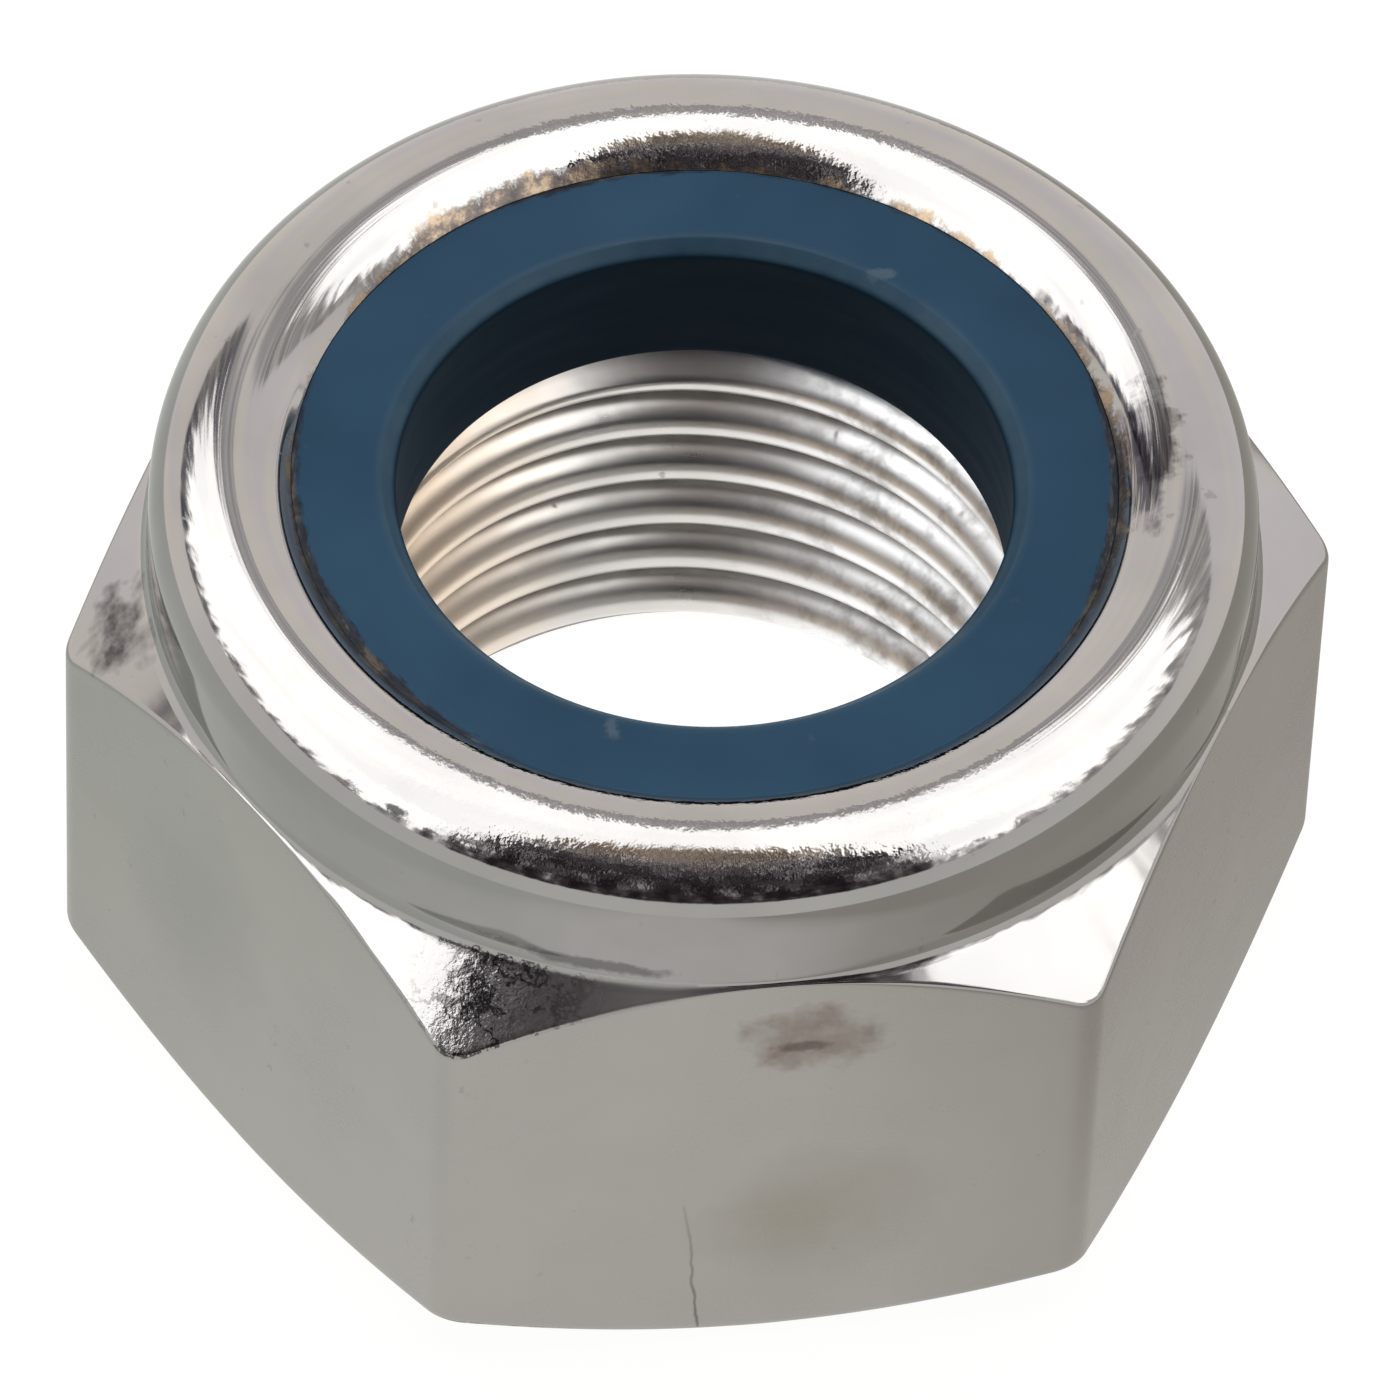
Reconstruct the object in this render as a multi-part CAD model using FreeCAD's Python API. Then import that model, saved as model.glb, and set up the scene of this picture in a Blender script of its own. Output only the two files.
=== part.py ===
import FreeCAD, Part
import math
import os

# Nylon insert lock nut, metric fine thread M16 x 1.5, in millimetres.
# Frame: +Z is the thread axis and points to the collar. The origin is the centre of
# the flat bearing face at the bottom. Two of the six wrench flats face -Y and +Y.

# Hexagon
ACROSS_FLATS = 24.0
HEX_HEIGHT = 12.0            # bearing face to the foot of the collar
CORNER_RADIUS = 0.8          # rounding of the six upright corners
TOP_CHAMFER_ANGLE = 42.0     # slope of the turned top chamfer, from the horizontal
BEARING_DIAMETER = 23.2      # flat ring that lies on the work
BOTTOM_CHAMFER_ANGLE = 30.0

# Thread
THREAD_DIAMETER = 16.0
THREAD_PITCH = 1.5
THREAD_DEPTH_SHARE = 0.5413  # depth of an internal 60 degree thread, in pitches
MOUTH_DIAMETER = 17.2        # countersink at the bearing face
MOUTH_ANGLE = 45.0           # from the axis

# Collar that holds the insert
TOTAL_HEIGHT = 15.2
COLLAR_STEP = 0.1            # the collar stands this far inside the flats
FOOT_RADIUS = 0.7            # hollow where the collar meets the top chamfer
COLLAR_WALL = 1.3
SHOULDER_RADIUS = 1.7        # outer half of the rolled rim
ROLL_RADIUS = 1.5            # inner half of the rolled rim
LIP_ANGLE = 50.0             # fall of the lip towards the axis, where the roll ends
LIP_UNDER_ANGLE = 15.0
LIP_OPENING = 17.7           # diameter inside the lip
LIP_EDGE = 0.35              # thickness of the lip at its end

# Insert and its seat
SEAT_HEIGHT = 11.0           # ledge under the insert
SEAT_SINK_DIAMETER = 17.8    # mouth of the countersink from the ledge to the thread
SEAT_SINK_ANGLE = 45.0       # from the axis
INSERT_BORE = 13.2
INSERT_BEVEL = 0.35
INSERT_TOP_DROP = 0.05       # the insert's face lies this far below the lip's end
SEAT_CLEARANCE = 0.0         # the rolled collar grips the insert with no gap

FULL_TURN = 360.0
HEX_SIDES = 6
BAR_OVERHANG = 1.0           # the hexagonal bar runs past both ends of the blank
TOUCHING = 1e-6

flat_radius = ACROSS_FLATS / 2
collar_radius = flat_radius - COLLAR_STEP
seat_radius = collar_radius - COLLAR_WALL
minor_radius = THREAD_DIAMETER / 2 - THREAD_DEPTH_SHARE * THREAD_PITCH
lip_radius = LIP_OPENING / 2
roll_setback = ROLL_RADIUS * math.tan(math.radians(LIP_ANGLE / 2))
roll_corner_radius = collar_radius - SHOULDER_RADIUS - roll_setback


def slope(angle):
    """Rise for each millimetre across, for an angle from the horizontal."""
    return math.tan(math.radians(angle))


lip_top = TOTAL_HEIGHT - (roll_corner_radius - lip_radius) * slope(LIP_ANGLE)
lip_bottom = lip_top - LIP_EDGE
seat_top = lip_bottom + (seat_radius - lip_radius) * slope(LIP_UNDER_ANGLE)


def unit(vector):
    return FreeCAD.Vector(vector).normalize()


def rounded_corner(before, corner, after, radius):
    """Start, middle and end points of the arc that rounds one corner of a profile."""
    towards_before = unit(before - corner)
    towards_after = unit(after - corner)
    half_angle = towards_before.getAngle(towards_after) / 2
    setback = radius / math.tan(half_angle)
    bisector = unit(towards_before + towards_after)
    centre = corner + bisector * (radius / math.sin(half_angle))
    return (
        corner + towards_before * setback,
        centre - bisector * radius,
        corner + towards_after * setback,
    )


def rounded_polygon(corners):
    """Closed wire through corners of (point, rounding radius), with tangent arcs."""
    ends = []
    arcs = []
    for index, (corner, radius) in enumerate(corners):
        before = corners[index - 1][0]
        after = corners[(index + 1) % len(corners)][0]
        if radius > 0:
            start, middle, end = rounded_corner(before, corner, after, radius)
            arcs.append(Part.Arc(start, middle, end).toShape())
            ends.append((start, end))
        else:
            arcs.append(None)
            ends.append((corner, corner))
    edges = []
    for index, arc in enumerate(arcs):
        if arc:
            edges.append(arc)
        leave = ends[index][1]
        arrive = ends[(index + 1) % len(ends)][0]
        if leave.distanceToPoint(arrive) > TOUCHING:
            edges.append(Part.makeLine(leave, arrive))
    return Part.Wire(edges)


def turned(profile):
    """Solid turned about the Z axis from corners of (radius, height, rounding)."""
    corners = [(FreeCAD.Vector(0, r, z), rounding) for r, z, rounding in profile]
    face = Part.Face(rounded_polygon(corners))
    axis = FreeCAD.Vector(0, 0, 1)
    return face.revolve(FreeCAD.Vector(), axis, FULL_TURN)


def hexagon_bar():
    """Hexagonal bar with rounded corners, longer than the nut at both ends."""
    corner_distance = flat_radius / math.cos(math.pi / HEX_SIDES)
    corners = []
    for side in range(HEX_SIDES):
        angle = 2 * math.pi * side / HEX_SIDES
        point = FreeCAD.Vector(math.cos(angle), math.sin(angle), 0) * corner_distance
        point.z = -BAR_OVERHANG
        corners.append((point, CORNER_RADIUS))
    face = Part.Face(rounded_polygon(corners))
    return face.extrude(FreeCAD.Vector(0, 0, TOTAL_HEIGHT + 2 * BAR_OVERHANG))


def turned_blank():
    """Everything on the nut that is turned: chamfers, collar, lip, seat and bore."""
    corner_distance = flat_radius / math.cos(math.pi / HEX_SIDES)
    bearing_radius = BEARING_DIAMETER / 2
    outside = corner_distance + CORNER_RADIUS
    bottom_rim = (outside - bearing_radius) * slope(BOTTOM_CHAMFER_ANGLE)
    top_rim = HEX_HEIGHT - (outside - collar_radius) * slope(TOP_CHAMFER_ANGLE)
    mouth_radius = MOUTH_DIAMETER / 2
    mouth_depth = (mouth_radius - minor_radius) / slope(MOUTH_ANGLE)
    sink_radius = SEAT_SINK_DIAMETER / 2
    sink_depth = (sink_radius - minor_radius) / slope(SEAT_SINK_ANGLE)
    return turned([
        (mouth_radius, 0, 0),
        (bearing_radius, 0, 0),
        (outside, bottom_rim, 0),
        (outside, top_rim, 0),
        (collar_radius, HEX_HEIGHT, FOOT_RADIUS),
        (collar_radius, TOTAL_HEIGHT, SHOULDER_RADIUS),
        (roll_corner_radius, TOTAL_HEIGHT, ROLL_RADIUS),
        (lip_radius, lip_top, 0),
        (lip_radius, lip_bottom, 0),
        (seat_radius, seat_top, 0),
        (seat_radius, SEAT_HEIGHT, 0),
        (sink_radius, SEAT_HEIGHT, 0),
        (minor_radius, SEAT_HEIGHT - sink_depth, 0),
        (minor_radius, mouth_depth, 0),
    ])


def nut_body():
    """Hexagon cut from bar, with turned chamfers, collar, lip, insert seat and bore."""
    return hexagon_bar().common(turned_blank()).Solids[0]


def nylon_insert():
    """Nylon ring that fills the seat and shows inside the lip."""
    outer = seat_radius - SEAT_CLEARANCE
    bore = INSERT_BORE / 2
    top = lip_top - INSERT_TOP_DROP
    return turned([
        (bore, SEAT_HEIGHT, 0),
        (outer, SEAT_HEIGHT, 0),
        (outer, seat_top, 0),
        (lip_radius, lip_bottom, 0),
        (lip_radius, top, 0),
        (bore + INSERT_BEVEL, top, 0),
        (bore, top - INSERT_BEVEL, 0),
    ])


def main():
    os.makedirs("parts", exist_ok=True)
    parts = {"nut_body": nut_body(), "nylon_insert": nylon_insert()}
    for name, shape in parts.items():
        shape.exportStep(os.path.join("parts", name + ".step"))


main()
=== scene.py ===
"""Nylon insert lock nut: a drawn and turned steel nut whose rolled rim holds a blue ring."""

import math
from collections import namedtuple

import bmesh
import bpy
from bpy.props import FloatProperty, FloatVectorProperty, PointerProperty
from mathutils import Matrix, Vector


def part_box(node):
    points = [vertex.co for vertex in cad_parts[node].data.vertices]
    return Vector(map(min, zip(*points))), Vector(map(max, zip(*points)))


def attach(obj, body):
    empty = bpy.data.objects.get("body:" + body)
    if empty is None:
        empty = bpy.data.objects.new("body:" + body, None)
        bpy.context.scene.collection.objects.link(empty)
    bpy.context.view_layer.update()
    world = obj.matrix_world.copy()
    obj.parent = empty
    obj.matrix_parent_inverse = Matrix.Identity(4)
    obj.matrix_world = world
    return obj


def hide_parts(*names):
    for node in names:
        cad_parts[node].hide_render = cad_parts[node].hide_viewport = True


bl_info = {
    "name": "Nylon Insert Lock Nut",
    "version": (1, 0, 0),
    "blender": (4, 5, 0),
    "location": "3D View > Sidebar > Lock Nut",
    "description": "Builds the steel nut, its blue ring and the studio round them",
    "category": "Object",
}

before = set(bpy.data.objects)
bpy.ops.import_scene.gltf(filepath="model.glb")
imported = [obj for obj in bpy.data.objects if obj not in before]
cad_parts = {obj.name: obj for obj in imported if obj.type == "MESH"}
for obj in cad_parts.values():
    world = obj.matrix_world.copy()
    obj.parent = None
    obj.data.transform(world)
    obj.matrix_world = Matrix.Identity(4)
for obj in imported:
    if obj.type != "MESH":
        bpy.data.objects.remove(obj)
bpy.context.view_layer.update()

MM = 0.001                      # metres in a millimetre
MICRON = 0.000001               # metres in a thousandth of a millimetre
TURN = 2 * math.pi

# Sizes in millimetres. The frame gives the driving ones.
NUT_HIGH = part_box("nut_body")[1] / MM
RING_LOW, RING_HIGH = (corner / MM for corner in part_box("nylon_insert"))
FLAT_RADIUS = NUT_HIGH.y
NUT_HEIGHT = NUT_HIGH.z
SEAT_RADIUS = RING_HIGH.x
SEAT_HEIGHT = RING_LOW.z
COLLAR_HEIGHT = 3.2
HEX_HEIGHT = NUT_HEIGHT - COLLAR_HEIGHT

# Small roundings of single edges, in millimetres
MOUTH_EDGE = 0.12
BEARING_EDGE = 0.3
LIP_END_EDGE = 0.03
SINK_EDGE = 0.2
RING_FOOT_EDGE = 0.06
RING_RIM_EDGE = 0.015
RING_BEVEL_EDGE = 0.12

# Mesh of the nut and the ring
SIDES = 6
SECTOR = TURN / SIDES
HALF_SECTOR = SECTOR / 2
CORNER_COLUMNS = 8              # mesh columns round one upright corner
FLAT_COLUMNS = 50               # mesh columns across one flat
RING_COLUMNS = 240
EASE = 0.8                      # 0 keeps the steps of a run even, 1 shrinks them to nothing at its ends
LINE_GAP = 0.01                 # mm between the two ends of the ring's section
STRAIGHT = 1e-6                 # radians: an arc that turns less is drawn straight
WELD = 2e-8                     # metres: closer points become one


def colour_setting(name, default, description):
    """Setting for a colour."""
    return FloatVectorProperty(name=name, description=description, default=default,
                               subtype="COLOR", size=3, min=0, max=1)


class NutSizes(bpy.types.PropertyGroup):
    corner_round: FloatProperty(name="Corner round", default=0.8,
                                description="Rounding of the six upright corners, mm")
    top_slope: FloatProperty(name="Top chamfer", default=math.radians(42), subtype="ANGLE",
                             description="Slope of the turned top chamfer from the horizontal")
    bottom_slope: FloatProperty(name="Bottom chamfer", default=math.radians(30), subtype="ANGLE",
                                description="Slope of the chamfer round the bearing face")
    bearing_step: FloatProperty(name="Bearing step", default=0.4,
                                description="The bearing ring ends this far inside the flats, mm")
    mouth_radius: FloatProperty(name="Mouth radius", default=8.6,
                                description="Countersink at the bearing face, mm")
    collar_step: FloatProperty(name="Collar step", default=0.1,
                               description="The collar stands this far inside the flats, mm")
    foot_round: FloatProperty(name="Foot round", default=0.7,
                              description="Hollow where the collar meets the chamfer, mm")
    shoulder_round: FloatProperty(name="Shoulder round", default=1.7,
                                  description="Radius of the rim's outer half, mm")
    roll_round: FloatProperty(name="Roll round", default=1.5,
                              description="Radius of the rim's inner half, mm")
    lip_slope: FloatProperty(name="Lip slope", default=math.radians(50), subtype="ANGLE",
                             description="Fall of the lip where the roll ends")
    lip_radius: FloatProperty(name="Lip radius", default=8.85,
                              description="Half of the opening inside the lip, mm")
    lip_edge: FloatProperty(name="Lip edge", default=0.35,
                            description="Thickness of the lip at its end, mm")
    under_slope: FloatProperty(name="Lip underside", default=math.radians(15), subtype="ANGLE",
                               description="Slope of the lip's underside")
    sink_radius: FloatProperty(name="Sink radius", default=8.9,
                               description="Countersink under the ring, mm")
    edge_round: FloatProperty(name="Edge round", default=0.28,
                              description="Rounding between the flats and the top chamfer, mm")
    base_round: FloatProperty(name="Base round", default=0.5,
                              description="Rounding between the flats and the bottom chamfer, mm")


class ThreadSizes(bpy.types.PropertyGroup):
    pitch: FloatProperty(name="Pitch", default=1.5,
                         description="Rise of the thread in one turn, mm")
    minor_radius: FloatProperty(name="Minor radius", default=7.188,
                                description="Radius at the thread's crest, mm")
    major_radius: FloatProperty(name="Major radius", default=8.0,
                                description="Radius at the thread's root, mm")
    root_round: FloatProperty(name="Root round", default=0.06,
                              description="Softness of the root, 0 for a sharp one")
    crest_width: FloatProperty(name="Crest width", default=0.62,
                               description="Below 1 the crest is broader and the root narrower")


class RingSizes(bpy.types.PropertyGroup):
    top_drop: FloatProperty(name="Top drop", default=0.012,
                            description="The ring's face lies this far below the lip's end, mm")
    bore_radius: FloatProperty(name="Bore radius", default=6.6,
                               description="Radius of the ring's bore, mm")
    bore_bevel: FloatProperty(name="Bore bevel", default=0.34,
                              description="Bevel of the bore's upper edge, mm")
    gap: FloatProperty(name="Gap", default=0.004,
                       description="Gap between the ring and the steel in the mesh, mm")


class Finish(bpy.types.PropertyGroup):
    steel: colour_setting("Steel", (0.44, 0.43, 0.42), "Colour of the turned steel")
    tapped: colour_setting("Tapped steel", (0.60, 0.585, 0.56), "Colour of the thread")
    drawn: colour_setting("Drawn steel", (0.48, 0.468, 0.44), "Colour of the flats")
    nylon: colour_setting("Nylon", (0.0205, 0.066, 0.122), "Colour of the ring")
    stain: colour_setting("Stain", (0.20, 0.12, 0.08), "Colour of the rust stain")
    yellowed: colour_setting("Yellowed steel", (0.33, 0.30, 0.23), "Colour of the yellowed patch")
    # Tan painted on the thread's left side as a painted reflection
    reflected_tan: colour_setting("Old oil", (0.80, 0.65, 0.505), "Colour of the thread's oily side")
    # Side from which the painted shade, the chamfer's painted reflection and other marks are placed
    marks_from: FloatProperty(name="Marks from", default=math.radians(-9.25), subtype="ANGLE",
                              description="Side of the nut from which its grime is placed")


class Studio(bpy.types.PropertyGroup):
    azimuth: FloatProperty(name="Azimuth", default=math.radians(-9.25), subtype="ANGLE",
                           description="Side from which the camera looks")
    elevation: FloatProperty(name="Elevation", default=math.radians(49.8), subtype="ANGLE",
                             description="Height of the camera above the horizon")
    roll: FloatProperty(name="Roll", default=math.radians(2.46), subtype="ANGLE",
                        description="Turn of the camera about its own view line")
    distance: FloatProperty(name="Distance", default=0.336, unit="LENGTH",
                            description="Camera to the middle of the nut")
    lens: FloatProperty(name="Lens", default=400.0,
                        description="Focal length, mm on a 36 mm sensor")
    aim_height: FloatProperty(name="Aim height", default=9.6,
                              description="Height of the point that the framing starts from, mm")
    aim_right: FloatProperty(name="Aim right", default=0.024,
                             description="Middle of the picture, right of that point, mm")
    aim_down: FloatProperty(name="Aim down", default=1.637,
                            description="Middle of the picture, below that point, mm")
    floor: colour_setting("Floor", (0.80, 0.79, 0.78), "Colour of the floor")
    floor_half: FloatProperty(name="Floor half side", default=1.5, unit="LENGTH",
                              description="Half of the floor's side")
    surround_radius: FloatProperty(name="Surround radius", default=0.08, unit="LENGTH",
                                   description="Radius of the surround that the steel mirrors")
    light: FloatProperty(name="Light", default=1.15, description="Strength of the soft boxes")


GROUPS = {
    "nut_sizes": NutSizes,
    "nut_thread": ThreadSizes,
    "nut_ring": RingSizes,
    "nut_finish": Finish,
    "nut_studio": Studio,
}

# Corner of a section: its radius and height, the mesh steps to the next corner, its rounding, the
# mesh steps round that, and the share of the shorter line beside it that the rounding may take
Corner = namedtuple("Corner", "radius height steps rounding arc_steps share", defaults=(0, 0, 0))


def rounded_corner(before, corner, after, radius, share):
    """Start, centre and end of the arc that rounds a corner."""
    towards_before = (before - corner).normalized()
    towards_after = (after - corner).normalized()
    half_angle = towards_before.angle(towards_after) / 2
    room = share * min((before - corner).length, (after - corner).length)
    setback = min(radius / math.tan(half_angle), room)
    reach = setback / math.cos(half_angle)
    centre = corner + (towards_before + towards_after).normalized() * reach
    start = corner + towards_before * setback
    end = corner + towards_after * setback
    return start, centre, end


def arc_points(start, centre, end, count):
    """Points of the arc from start to end, both among them."""
    first, last = start - centre, end - centre
    turn = first.angle(last)
    if turn < STRAIGHT:
        return [start.lerp(end, step / count) for step in range(count + 1)]
    points = []
    for step in range(count + 1):
        share = step / count
        spoke = (math.sin((1 - share) * turn) * first + math.sin(share * turn) * last) / math.sin(turn)
        points.append(centre + spoke)
    return points


def eased(share):
    """Maps 0 to 1 onto itself, with short steps near both ends."""
    return share - math.sin(TURN * share) / TURN * EASE


def section(corners):
    """Open line through the corners, with their roundings."""
    places = [Vector((corner.radius, corner.height)) for corner in corners]
    arcs = []
    for index, corner in enumerate(corners):
        if corner.rounding > 0:
            start, centre, end = rounded_corner(
                places[index - 1], places[index], places[index + 1], corner.rounding, corner.share)
            arcs.append(arc_points(start, centre, end, corner.arc_steps))
        else:
            arcs.append([places[index]])
    line = list(arcs[0])
    for index in range(1, len(corners)):
        leave, arrive = arcs[index - 1][-1], arcs[index][0]
        steps = corners[index - 1].steps
        line += [leave.lerp(arrive, eased(step / steps)) for step in range(1, steps)]
        line += arcs[index]
    return line


def corner_arc(sizes):
    """Rounding of the hexagon's corners: how far its centre is from the axis, and the angle about
    the axis from a corner to where its rounding ends."""
    centre = (FLAT_RADIUS - sizes.corner_round) / math.cos(HALF_SECTOR)
    touch = math.atan2(sizes.corner_round * math.sin(HALF_SECTOR),
                       centre + sizes.corner_round * math.cos(HALF_SECTOR))
    return centre, touch


def hexagon_radius(angle, sizes):
    """Distance from the axis to the rounded hexagon's side, at an angle about the axis."""
    from_corner = abs((angle + HALF_SECTOR) % SECTOR - HALF_SECTOR)
    centre, touch = corner_arc(sizes)
    if from_corner >= touch:
        return FLAT_RADIUS / math.cos(HALF_SECTOR - from_corner)
    across = centre * math.sin(from_corner)
    return centre * math.cos(from_corner) + math.sqrt(sizes.corner_round ** 2 - across ** 2)


def column_angles(sizes):
    """Angles of the mesh columns: close together at the six corners, wider across the flats."""
    _, touch = corner_arc(sizes)
    angles = []
    for side in range(SIDES):
        corner = side * SECTOR
        for column in range(CORNER_COLUMNS):
            angles.append(corner - touch + 2 * touch * column / CORNER_COLUMNS)
        for column in range(FLAT_COLUMNS):
            share = 0.5 * (eased(column / FLAT_COLUMNS) + column / FLAT_COLUMNS)
            angles.append(corner + touch + (SECTOR - 2 * touch) * share)
    return angles


def lip_levels(sizes):
    """Radius of the corner that the roll rounds, and three heights: the lip's end, the underside
    of that end, and the roof of the seat at its outside."""
    collar = FLAT_RADIUS - sizes.collar_step
    roll_corner = collar - sizes.shoulder_round - sizes.roll_round * math.tan(sizes.lip_slope / 2)
    lip_top = NUT_HEIGHT - (roll_corner - sizes.lip_radius) * math.tan(sizes.lip_slope)
    lip_bottom = lip_top - sizes.lip_edge
    seat_top = lip_bottom + (SEAT_RADIUS - sizes.lip_radius) * math.tan(sizes.under_slope)
    return roll_corner, lip_top, lip_bottom, seat_top


def thread_ends(sizes, thread):
    """Heights at which the two countersinks meet the thread's root."""
    bottom = sizes.mouth_radius - thread.major_radius
    top = SEAT_HEIGHT - (sizes.sink_radius - thread.major_radius)
    return bottom, top


def outer_section(angle, sizes, thread):
    """Section of the nut at one angle, from the mouth round the outside to the sink."""
    side = hexagon_radius(angle, sizes)
    collar = FLAT_RADIUS - sizes.collar_step
    bearing = FLAT_RADIUS - sizes.bearing_step
    low = (side - bearing) * math.tan(sizes.bottom_slope)
    high = HEX_HEIGHT - (side - collar) * math.tan(sizes.top_slope)
    roll_corner, lip_top, lip_bottom, seat_top = lip_levels(sizes)
    thread_bottom, thread_top = thread_ends(sizes, thread)
    return section([
        Corner(thread.major_radius, thread_bottom, 4),
        Corner(sizes.mouth_radius, 0, 5, MOUTH_EDGE, 3, 0.2),
        Corner(bearing, 0, 5, BEARING_EDGE, 4, 0.3),
        Corner(side, low, 14, sizes.base_round, 6, 0.6),
        Corner(side, high, 9, sizes.edge_round, 6, 0.2),
        Corner(collar, HEX_HEIGHT, 6, sizes.foot_round, 8, 0.75),
        Corner(collar, NUT_HEIGHT, 1, sizes.shoulder_round, 24, 1),
        Corner(roll_corner, NUT_HEIGHT, 3, sizes.roll_round, 16, 1),
        Corner(sizes.lip_radius, lip_top, 2, LIP_END_EDGE, 4, 0.4),
        Corner(sizes.lip_radius, lip_bottom, 2),
        Corner(SEAT_RADIUS, seat_top, 2),
        Corner(SEAT_RADIUS, SEAT_HEIGHT, 2),
        Corner(sizes.sink_radius, SEAT_HEIGHT, 4, SINK_EDGE, 4, 0.3),
        Corner(thread.major_radius, thread_top, 0),
    ])


# Rows of the mesh in one pitch of the thread, close together at the root
THREAD_PHASES = (0.0, 0.025, 0.05, 0.09, 0.14, 0.2, 0.27, 0.35, 0.43, 0.5, 0.57, 0.65, 0.73, 0.8,
                 0.86, 0.91, 0.95, 0.975)


def thread_radius(phase, thread):
    """Radius of the thread at a phase in pitches. The root is at 0, and the crest is broad."""
    soft = thread.root_round
    share = math.sqrt(math.sin(math.pi * phase) ** 2 + soft ** 2) - soft
    share = (share / (math.sqrt(1 + soft ** 2) - soft)) ** thread.crest_width
    return thread.major_radius + (thread.minor_radius - thread.major_radius) * share


def thread_section(angle, sizes, thread):
    """Points down the thread at one angle. In one turn of the angle they rise by a pitch."""
    bottom, top = thread_ends(sizes, thread)
    lift = angle / TURN
    turns = math.ceil((top - bottom) / thread.pitch) + 1
    points = []
    for turn in range(turns, -2, -1):
        for phase in reversed(THREAD_PHASES):
            height = bottom + (turn + phase + lift) * thread.pitch
            height = min(max(height, bottom), top)
            radius = thread_radius((height - bottom) / thread.pitch - lift, thread)
            mouth = sizes.mouth_radius - height
            sink = sizes.sink_radius - (SEAT_HEIGHT - height)
            points.append(Vector((max(radius, mouth, sink), height)))
    return points


def mesh_object(name, sections, angles):
    """Object whose skin runs through the sections, one at each angle, closed both ways."""
    points = []
    for angle, line in zip(angles, sections):
        for point in line:
            points.append((point.x * math.cos(angle) * MM, point.x * math.sin(angle) * MM, point.y * MM))
    rows = len(sections[0])
    faces = []
    for column in range(len(sections) - 1):
        for row in range(rows):
            here, there = column * rows, (column + 1) * rows
            after = (row + 1) % rows
            faces.append((here + row, there + row, there + after, here + after))
    mesh = bpy.data.meshes.new(name)
    mesh.from_pydata(points, [], faces)
    work = bmesh.new()
    work.from_mesh(mesh)
    bmesh.ops.remove_doubles(work, verts=work.verts, dist=WELD)
    bmesh.ops.dissolve_degenerate(work, edges=work.edges, dist=WELD)
    bmesh.ops.recalc_face_normals(work, faces=work.faces)
    for face in work.faces:
        face.smooth = True
    work.to_mesh(mesh)
    work.free()
    piece = bpy.data.objects.new(name, mesh)
    bpy.context.scene.collection.objects.link(piece)
    return piece


def rgba(colour):
    return (*colour, 1.0)


class Graph:
    """Small helper that adds and joins the nodes of one material or of the world."""

    def __init__(self, owner, output):
        owner.use_nodes = True
        self.owner = owner
        self.tree = owner.node_tree
        self.tree.nodes.clear()
        self.output = self.add(output)

    def add(self, kind, settings=None, **inputs):
        """New node. Its inputs are called by their labels, or i0, i1 and so on by their places."""
        node = self.tree.nodes.new(kind)
        for name, value in (settings or {}).items():
            setattr(node, name, value)
        for name, value in inputs.items():
            self.feed(node, name, value)
        return node

    def feed(self, node, name, value):
        """Joins another node's output to an input, or sets the input to a plain value."""
        key = int(name[1:]) if name[0] == "i" and name[1:].isdigit() else name.replace("_", " ")
        socket = node.inputs[key]
        if isinstance(value, bpy.types.NodeSocket):
            self.tree.links.new(value, socket)
        else:
            socket.default_value = value

    def show(self, shader):
        """Joins the last shader to the output."""
        self.feed(self.output, "Surface", shader.outputs[0])

    def math(self, operation, *values, clamp=False):
        node = self.add("ShaderNodeMath", {"operation": operation, "use_clamp": clamp})
        for index, value in enumerate(values):
            self.feed(node, "i%d" % index, value)
        return node.outputs[0]

    def plus(self, first, second):
        return self.math("ADD", first, second)

    def minus(self, first, second):
        return self.math("SUBTRACT", first, second)

    def times(self, first, second):
        return self.math("MULTIPLY", first, second)

    def split(self, vector):
        return self.add("ShaderNodeSeparateXYZ", i0=vector).outputs

    def from_axis(self, x, y):
        """Distance of a place from the nut's axis."""
        return self.math("SQRT", self.plus(self.times(x, x), self.times(y, y)))

    def noise(self, vector, scale, detail, roughness):
        node = self.add("ShaderNodeTexNoise", Vector=vector, Scale=scale, Detail=detail,
                        Roughness=roughness)
        return node.outputs["Fac"]

    def ramp(self, factor, stops):
        """Colour ramp through stops of (position, colour)."""
        node = self.add("ShaderNodeValToRGB", i0=factor)
        elements = node.color_ramp.elements
        while len(elements) < len(stops):
            elements.new(0.5)
        for element, (position, colour) in zip(elements, stops):
            element.position = position
            element.color = rgba(colour)
        return node.outputs["Color"]

    def span(self, value, low, high, to_low=0.0, to_high=1.0):
        """Carries low over to to_low and high to to_high, and stays between these two."""
        node = self.add("ShaderNodeMapRange", {"clamp": True}, Value=value, From_Min=low,
                        From_Max=high, To_Min=to_low, To_Max=to_high)
        return node.outputs[0]

    def mix(self, factor, first, second):
        """Blend of two colours, which is the second one where the factor is 1."""
        node = self.add("ShaderNodeMix", {"data_type": "RGBA"}, i0=factor, i6=first, i7=second)
        return node.outputs[2]

    def paint(self, tone, mask, strength, colour):
        """Tone with a plain colour laid over it where the mask is."""
        return self.mix(self.times(mask, strength), tone, rgba(colour))

    def bump(self, depth, pattern, under=None):
        """Relief of a depth in metres, on top of another relief where one is given."""
        node = self.add("ShaderNodeBump", Strength=1.0, Distance=depth, Height=pattern)
        if under is not None:
            self.feed(node, "Normal", under)
        return node.outputs[0]

    def seen(self, path):
        """1 for rays that come from the camera, a mirror or glass, and 0 for other rays."""
        seen = self.plus(path.outputs["Is Camera Ray"], path.outputs["Is Glossy Ray"])
        return self.math("ADD", seen, path.outputs["Is Transmission Ray"], clamp=True)


def new_material(name):
    """Graph of a new material, and the places on its piece, in metres."""
    graph = Graph(bpy.data.materials.new(name), "ShaderNodeOutputMaterial")
    return graph, graph.add("ShaderNodeTexCoord").outputs["Object"]


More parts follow.
